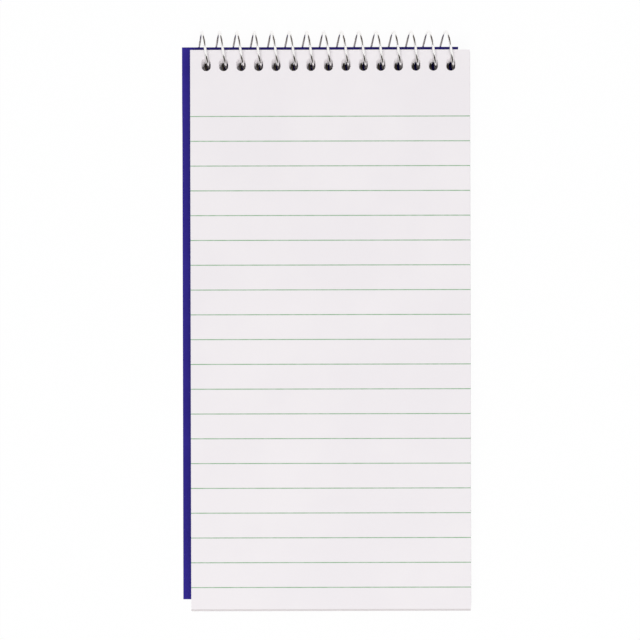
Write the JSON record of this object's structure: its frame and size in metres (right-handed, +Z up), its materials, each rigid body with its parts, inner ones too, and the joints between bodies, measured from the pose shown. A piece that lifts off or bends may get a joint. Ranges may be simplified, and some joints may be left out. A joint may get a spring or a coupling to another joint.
{
  "type": "reporter notebook",
  "caption": "Slim top-bound reporter notebook: ruled leaves and a stiff board on a round wire coil, with a plastic cover folded under them.",
  "frame": {"origin": "on the table, under the centre of the top sheet: the face of the cover that the notebook rests on", "axes": "+Y along the pages towards the coil, +Z up out of the top page, +X along the coil"},
  "size_m": [0.106, 0.2118, 0.0146],
  "materials": {
    "paper": "uncoated",
    "chipboard": "raw",
    "blue_cover": "satin",
    "wire": "polished"
  },
  "bodies": {
    "pad": {"page_block": "paper", "back_board": "chipboard", "spiral_wire": "wire"},
    "cover": {"front_cover": "blue_cover"}
  },
  "joints": [
    {"name": "cover_swing", "type": "hinge", "parent": "pad", "child": "cover", "pos_m": [0, 0.1018, 0.0073], "axis": [1, 0, 0], "range_deg": [0, 180]}
  ]
}
